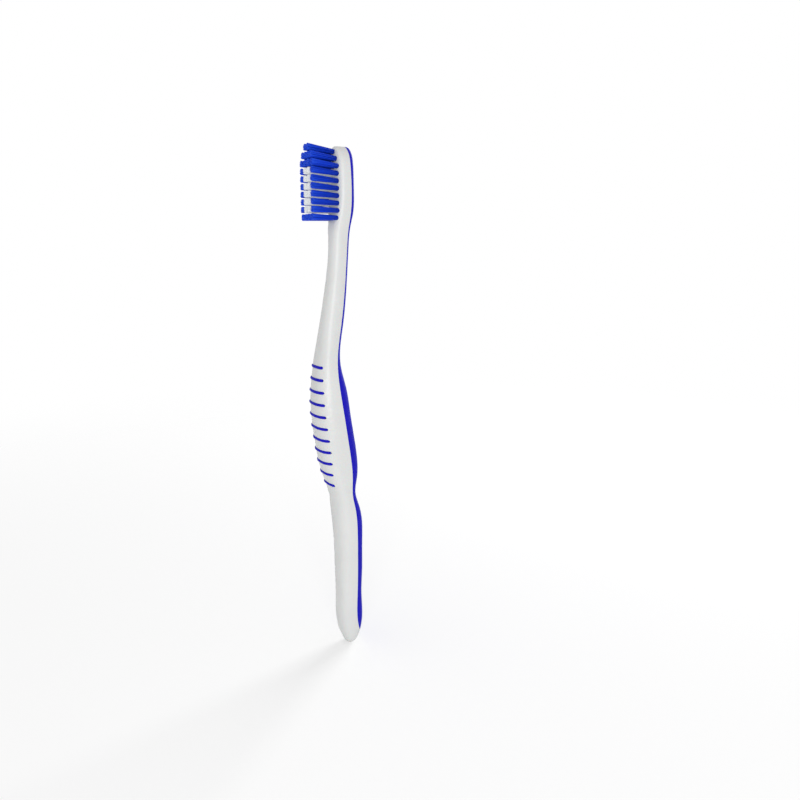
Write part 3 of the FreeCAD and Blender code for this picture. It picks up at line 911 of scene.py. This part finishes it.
@dataclass
class InterdentalBrush(Tool):
    """Upper tool: white stem and tail, soft grip, twisted wire and fine filaments."""

    # Rise and size along each form, as shares of the sizes that it runs between
    FLARE_SHARES = ((0.0, 0.5), (0.02, 0.86), (0.1, 1.0), (0.22, 0.9), (0.38, 0.58), (0.55, 0.3),
                    (0.75, 0.1), (1.0, 0.0))
    DOME_SHARES = ((0.0, 1.0), (0.55, 0.9), (0.9, 0.6), (1.0, 0.25))
    CUSHION_SHARES = ((0.0, 0.7), (0.06, 0.88), (0.3, 1.0), (0.7, 1.0), (0.94, 0.98), (1.0, 0.86))
    DOT_SHARES = ((0, 0), (1, 0), (1, 1), (0.86, 1.05), (0, 1.07))

    gap: float = 0.0005
    tail: float = 0.0026
    grip: float = 0.0152
    flare: float = 0.0056
    stem: float = 0.0088
    width: float = 0.0053
    knuckle_width: float = 0.0059
    knuckle: float = 0.0050
    thickness: float = 0.0040
    tail_width: float = 0.0052
    tail_thickness: float = 0.0030
    base_thickness: float = 0.0034
    stem_width: float = 0.0018
    bar_width: float = 0.0028
    bar_thickness: float = 0.0018
    dot: float = 0.0017
    dot_rise: float = 0.0024
    wire_width: float = 0.0006
    wire_length: float = 0.0130
    wire_socket: float = 0.0050
    wire_pitch: float = 0.0012
    filament_width: float = 0.0037
    filament_length: float = 0.0070
    filament_count: int = 120
    filament_gauge: float = 0.00009
    filament_fan: int = 6
    filament_turn_spread: float = 0.25
    filament_short_share: float = 0.84
    filament_lean: float = 0.06
    filament_sides: int = 4
    bar_rounding_share: float = 1 / 6
    ease_share: float = 1 / 4
    edge_share: float = 1 / 12
    stem_sides: int = 16
    stem_power: float = 2.3
    tail_sides: int = 20
    tail_power: float = 3.2
    dot_sides: int = 24
    grip_sides: int = 24
    grip_power: float = 3.4
    wire_steps: int = 10
    wire_sides: int = 8
    wire_lap_share: float = 1.05
    wire_end_share: float = 0.5
    seed: int = 7

    def __post_init__(self) -> None:
        """Works out the seat and the heights along the tool's own axis."""
        axis = next(joint["axis"] for joint in frame["joints"] if joint["child"] == Body.INTERDENTAL.value)
        tilt = Matrix.Rotation(math.atan2(axis[2], axis[1]), 4, "X")
        self.seat = Matrix.Translation((0, self.level, self.waist)) @ tilt
        self.tail_top = self.gap + self.tail
        self.base = self.tail_top + self.grip
        self.neck = self.base + self.flare
        self.top = self.neck + self.stem

    def build(self) -> None:
        """Builds the tool's four pieces."""
        self._core()
        self._grip()
        self._wire()
        self._filaments()

    def _core(self) -> None:
        """White stem, flared base, bar, tail and dot."""
        clay = Clay()
        spread = self.width - self.stem_width
        swell = self.base_thickness - self.stem_width
        rings = [section(self.base + rise * self.flare, self.stem_width + share * spread,
                         self.stem_width + share * swell) for rise, share in self.FLARE_SHARES]
        rings += [section(self.top + (rise - 1) * self.stem_width / 2, share * self.stem_width,
                          share * self.stem_width) for rise, share in self.DOME_SHARES]
        clay.sweep([self.seat @ ring for ring in rings], self.stem_sides, self.stem_power)
        rings = [section(self.gap + rise * self.tail, share * self.tail_width, share * self.tail_thickness)
                 for rise, share in self.CUSHION_SHARES]
        clay.sweep([self.seat @ ring for ring in rings], self.tail_sides, self.tail_power)
        bar = Vector((self.bar_width, self.bar_thickness, self.grip + self.bar_thickness))
        rounding = self.bar_rounding_share * self.bar_thickness
        clay.slab(bar, Vector((0, 0, self.tail_top + self.grip / 2)), rounding, self.seat)
        radius, rise = self.dot / 2, self.thickness / 2
        face = self.seat @ Matrix.Translation((0, 0, self.tail_top + self.dot_rise))
        profile = [(radius * wide, rise * high) for wide, high in self.DOT_SHARES]
        clay.spin(profile, self.dot_sides, face @ Matrix.Rotation(-math.pi / 2, 4, "X"))
        piece = clay.piece("pick_stem", TOOL_PLASTIC, 1)
        join_frame(piece, Body.INTERDENTAL, ["interdental_core"])

    def _grip(self) -> None:
        """Soft grip, wider at the knuckle, with eased ends."""
        clay = Clay()
        ease = self.ease_share * self.knuckle
        low, high = self.tail_top, self.base
        knuckle = low + self.knuckle
        slim, wide = self.width, self.knuckle_width
        edge = self.edge_share * self.thickness
        stops = ((low, wide * 0.86, 0.86), (low + edge, wide * 0.97, 0.97), (low + 3 * edge, wide, 1.0),
                 (knuckle - ease, wide, 1.0), (knuckle, (wide + slim) / 2, 0.99),
                 (knuckle + ease, slim, 0.97), (high - 3 * edge, slim, 0.97),
                 (high - edge, slim * 0.97, 0.95), (high, slim * 0.86, 0.84))
        rings = [section(height, width, share * self.thickness) for height, width, share in stops]
        clay.sweep([self.seat @ ring for ring in rings], self.grip_sides, self.grip_power)
        piece = clay.piece("pick_grip", BLUE_ELASTOMER, 1)
        join_frame(piece, Body.INTERDENTAL, ["interdental_grip"])

    def _wire(self) -> None:
        """Two strands twisted round each other, closed at the tip."""
        clay = Clay()
        radius = self.wire_width / 4
        low, high = self.top - self.wire_socket, self.top + self.wire_length
        steps = int(self.wire_steps * (high - low) / self.wire_pitch)
        for strand in (0, 1):
            path = []
            for step in range(steps + 1):
                angle = math.pi * strand + FULL_TURN * step / self.wire_steps
                height = low + (high - low) * step / steps
                path.append(Vector((radius * math.cos(angle), radius * math.sin(angle), height)))
            radii = [radius * self.wire_lap_share] * steps + [radius * self.wire_end_share]
            rings = tube_stations(path, radii, Vector((0, 1, 0)))
            clay.sweep([self.seat @ ring for ring in rings], self.wire_sides)
        join_frame(clay.piece("pick_wire", STEEL), Body.INTERDENTAL, ["interdental_wire"])

    def _filaments(self) -> None:
        """Fine filaments held crosswise by the turns of the wire."""
        clay = Clay()
        clay.mesh.verts.layers.float.new(Bundle.ALONG)
        clay.mesh.verts.layers.float.new(Bundle.STRAND)
        bundle = Bundle(sides=self.filament_sides)
        strand = bundle.strand()
        draw = random.Random(self.seed)
        gauge = self.filament_gauge / 2
        for number in range(self.filament_count):
            height = self.top + self.filament_length * (number + 0.5) / self.filament_count
            turn = draw.uniform(-self.filament_turn_spread, self.filament_turn_spread)
            angle = math.pi * number / self.filament_fan + turn
            half = self.filament_width / 2 * draw.uniform(self.filament_short_share, 1.0)
            lean = math.pi / 2 + draw.gauss(0, self.filament_lean)
            spin = Matrix.Rotation(angle, 4, "Z") @ Matrix.Rotation(lean, 4, "X")
            size = Matrix.Translation((0, 0, -half)) @ Matrix.Diagonal((gauge, gauge, 2 * half, 1.0))
            place = self.seat @ Matrix.Translation((0, 0, height)) @ spin @ size
            bundle.lay(clay, strand, place, draw.random())
        bpy.data.meshes.remove(strand)
        join_frame(clay.piece("pick_filaments", CLEAR_NYLON), Body.INTERDENTAL,
                   ["interdental_filaments"])


@dataclass
class GumStimulator(Tool):
    """Lower tool: white plate, soft shaft with a thumb pad, and a rubber cone."""

    # Rise, width and thickness at the lower end of the shaft, as shares of its own sizes
    SHAFT_SHARES = ((0.0, 0.56, 0.72), (0.03, 0.64, 0.8), (0.15, 0.78, 0.92), (0.4, 0.92, 0.98),
                    (0.8, 1.0, 1.0))

    gap: float = 0.0004
    plate: float = 0.0060
    plate_width: float = 0.0056
    plate_thickness: float = 0.0026
    pad: float = 0.0057
    pad_drop: float = 0.0064
    shaft_end: float = 0.0238
    shaft_width: float = 0.0048
    thickness: float = 0.0040
    bar_width: float = 0.0024
    bar_thickness: float = 0.0016
    neck_width: float = 0.0030
    neck: float = 0.0046
    pin: float = 0.0014
    pin_length: float = 0.0050
    cone: float = 0.0051
    cone_length: float = 0.0102
    point: float = 0.0015
    plate_rounding_share: float = 1 / 5
    bar_rounding_share: float = 1 / 6
    shaft_top_share: float = 0.98
    pin_sides: int = 20
    shaft_sides: int = 24
    shaft_power: float = 3.4
    pad_sides: int = 40
    neck_sides: int = 28
    cone_sides: int = 40

    def __post_init__(self) -> None:
        """Works out the seat of the tool."""
        self.seat = Matrix.Translation((0, self.level, self.waist))

    def build(self) -> None:
        """Builds the tool's three pieces."""
        self._core()
        self._grip()
        self._cone()

    def _core(self) -> None:
        """White plate, bar and pin."""
        clay = Clay()
        plate = Vector((self.plate_width, self.plate_thickness, self.plate))
        rounding = self.plate_rounding_share * self.plate_thickness
        clay.slab(plate, Vector((0, 0, -self.gap - self.plate / 2)), rounding, self.seat)
        bar = Vector((self.bar_width, self.bar_thickness, self.shaft_end - self.gap))
        rounding = self.bar_rounding_share * self.bar_thickness
        clay.slab(bar, Vector((0, 0, -(self.shaft_end + self.gap) / 2)), rounding, self.seat)
        low, high = -self.shaft_end - self.neck - self.pin_length, -self.pad_drop
        radius = self.pin / 2
        profile = ((0, low), (radius * 0.8, low), (radius, low + radius / 5), (radius, high), (0, high))
        clay.spin(profile, self.pin_sides, self.seat)
        piece = clay.piece("stimulator_plate", TOOL_PLASTIC)
        join_frame(piece, Body.STIMULATOR, ["stimulator_core"])

    def _grip(self) -> None:
        """Soft shaft, dished thumb pad and slim neck."""
        clay = Clay()
        end, width, thick = -self.shaft_end, self.shaft_width, self.thickness
        rings = [section(end + rise * width / 2, share * width, deep * thick)
                 for rise, share, deep in self.SHAFT_SHARES]
        rings.append(section(-self.pad_drop - width, width, thick))
        rings.append(section(-self.pad_drop, width * self.shaft_top_share, thick * self.shaft_top_share))
        clay.sweep([self.seat @ ring for ring in rings], self.shaft_sides, self.shaft_power)
        radius, top = self.pad / 2, thick / 2
        bottom = -self.plate_thickness / 2
        profile = ((0, bottom), (radius * 0.9, bottom), (radius, bottom + radius / 8),
                   (radius, top - radius / 6), (radius * 0.95, top - radius / 20), (radius * 0.86, top),
                   (radius * 0.76, top - radius / 40), (radius * 0.45, top - radius / 9),
                   (0, top - radius / 7))
        face = self.seat @ Matrix.Translation((0, 0, -self.pad_drop)) @ Matrix.Rotation(-math.pi / 2, 4, "X")
        clay.spin(profile, self.pad_sides, face)
        slim = self.neck_width / 2
        low = end - self.neck
        profile = ((0, low), (slim * 0.9, low), (slim, low + slim / 10), (slim * 0.92, low + self.neck * 0.5),
                   (slim, end), (slim, end + thick / 2), (0, end + thick / 2))
        clay.spin(profile, self.neck_sides, self.seat)
        piece = clay.piece("stimulator_shaft", BLUE_ELASTOMER, 1)
        join_frame(piece, Body.STIMULATOR, ["stimulator_grip"])

    def _cone(self) -> None:
        """Rubber cone with a rounded point and a lip at its base."""
        clay = Clay()
        base = -self.shaft_end - self.neck
        low = base - self.cone_length
        wide, point, bore = self.cone / 2, self.point / 2, self.pin / 2
        profile = ((0, low), (point * 0.55, low + point * 0.12), (point * 0.9, low + point * 0.5),
                   (point * 1.08, low + point), (wide * 0.965, base - wide * 0.25), (wide, base - wide * 0.1),
                   (wide * 0.97, base - wide * 0.02), (wide * 0.9, base), (bore, base))
        clay.spin(profile, self.cone_sides, self.seat)
        piece = clay.piece("stimulator_cone", TEAL_RUBBER)
        join_frame(piece, Body.STIMULATOR, ["stimulator_tip"])


@dataclass
class Studio:
    """Pale floor, soft light and the camera."""

    floor_reach: float = 0.7
    floor_near: float = 0.05
    floor_far: float = 0.6
    floor_colour: str = "#F4F4F4"
    ambient: float = 0.56
    floor_lift: float = 0.26
    key_power: float = 4.4
    key_place: tuple[float, float, float] = (0.84, -0.40, 0.14)
    fill_power: float = 3.8
    fill_place: tuple[float, float, float] = (-0.40, 0.80, 0.40)
    lamp_size: float = 0.45
    eye: tuple[float, float, float] = (0.24065, -0.11282, 0.155)
    heading: float = 60.5
    pitch: float = -11.86
    lens: float = 32.36

    def build(self) -> None:
        """Sets the stage."""
        self._floor()
        self._world()
        self._lamp("key", Vector(self.key_place), self.key_power)
        self._lamp("fill", Vector(self.fill_place), self.fill_power)
        self._camera()
        bpy.context.scene.view_settings.view_transform = "Standard"

    def _floor(self) -> None:
        """Wide pale floor that shows white to the camera where it is fully lit."""
        sheet = bmesh.new()
        bmesh.ops.create_grid(sheet, x_segments=1, y_segments=1, size=self.floor_reach)
        data = bpy.data.meshes.new("floor")
        sheet.to_mesh(data)
        sheet.free()
        material = bpy.data.materials.new("floor_pale")
        shader = Shader(material)
        seen = self._seen(shader)
        matt = shader.node("ShaderNodeBsdfDiffuse", {}, {"Color": paint(self.floor_colour)})
        lift = shader.node("ShaderNodeEmission", {}, {"Strength": seen * self.floor_lift})
        both = shader.node("ShaderNodeAddShader", {}, {0: matt, 1: lift})
        clear = shader.node("ShaderNodeBsdfTransparent", {}, {})
        away = shader.node("ShaderNodeVectorMath", {"operation": "LENGTH"}, {0: shader.place()}, "Value")
        fade = shader.node("ShaderNodeMapRange", {"interpolation_type": "SMOOTHSTEP"},
                           {"Value": away, "From Min": self.floor_near, "From Max": self.floor_far})
        skin = shader.node("ShaderNodeMixShader", {}, {0: fade, 1: both, 2: clear})
        shader.node("ShaderNodeOutputMaterial", {}, {"Surface": skin})
        data.materials.append(material)
        floor = bpy.data.objects.new("floor", data)
        bpy.context.scene.collection.objects.link(floor)

    @staticmethod
    def _seen(shader: Shader) -> Signal:
        """1 for rays that show the background in the picture, and 0 for rays that light the object."""
        camera, glossy, through = (shader.node("ShaderNodeLightPath", {}, {}, f"Is {kind} Ray")
                                   for kind in ("Camera", "Glossy", "Transmission"))
        return camera.larger(glossy).larger(through)

    def _world(self) -> None:
        """White surroundings that light the object at a plain level."""
        world = bpy.data.worlds.new("studio")
        bpy.context.scene.world = world
        shader = Shader(world)
        strength = self.ambient + (1 - self.ambient) * self._seen(shader)
        light = shader.node("ShaderNodeBackground", {}, {"Color": (1.0, 1.0, 1.0, 1.0), "Strength": strength})
        shader.node("ShaderNodeOutputWorld", {}, {"Surface": light})

    def _lamp(self, name: str, place: Vector, power: float) -> None:
        """Large soft lamp that faces the middle of the brush.

        Args:
            name: Name of the lamp.
            place: Where it hangs.
            power: Its power in watts.
        """
        data = bpy.data.lights.new(name, "AREA")
        data.energy, data.size = power, self.lamp_size
        lamp = bpy.data.objects.new(name, data)
        lamp.location = place
        middle = (CAD_BOX[0] + CAD_BOX[1]) / 2
        lamp.rotation_euler = (middle - place).to_track_quat("-Z", "Y").to_euler()
        bpy.context.scene.collection.objects.link(lamp)

    def _camera(self) -> None:
        """Camera at the height and heading of the photograph."""
        data = bpy.data.cameras.new("camera")
        data.lens = self.lens
        camera = bpy.data.objects.new("camera", data)
        camera.location = self.eye
        turn, tip = math.radians(self.heading), math.radians(self.pitch)
        look = Vector((-math.sin(turn) * math.cos(tip), math.cos(turn) * math.cos(tip), math.sin(tip)))
        camera.rotation_euler = look.to_track_quat("-Z", "Y").to_euler()
        bpy.context.scene.collection.objects.link(camera)
        bpy.context.scene.camera = camera


def main() -> None:
    """Builds the brush, its tools and the studio."""
    logging.basicConfig(level=logging.INFO, format="%(name)s: %(message)s")
    for assembly in (Handle(), BristleField(), InterdentalBrush(), GumStimulator(), Studio()):
        assembly.build()
        log.info("%s is built", type(assembly).__name__)


if __name__ == "__main__":
    main()
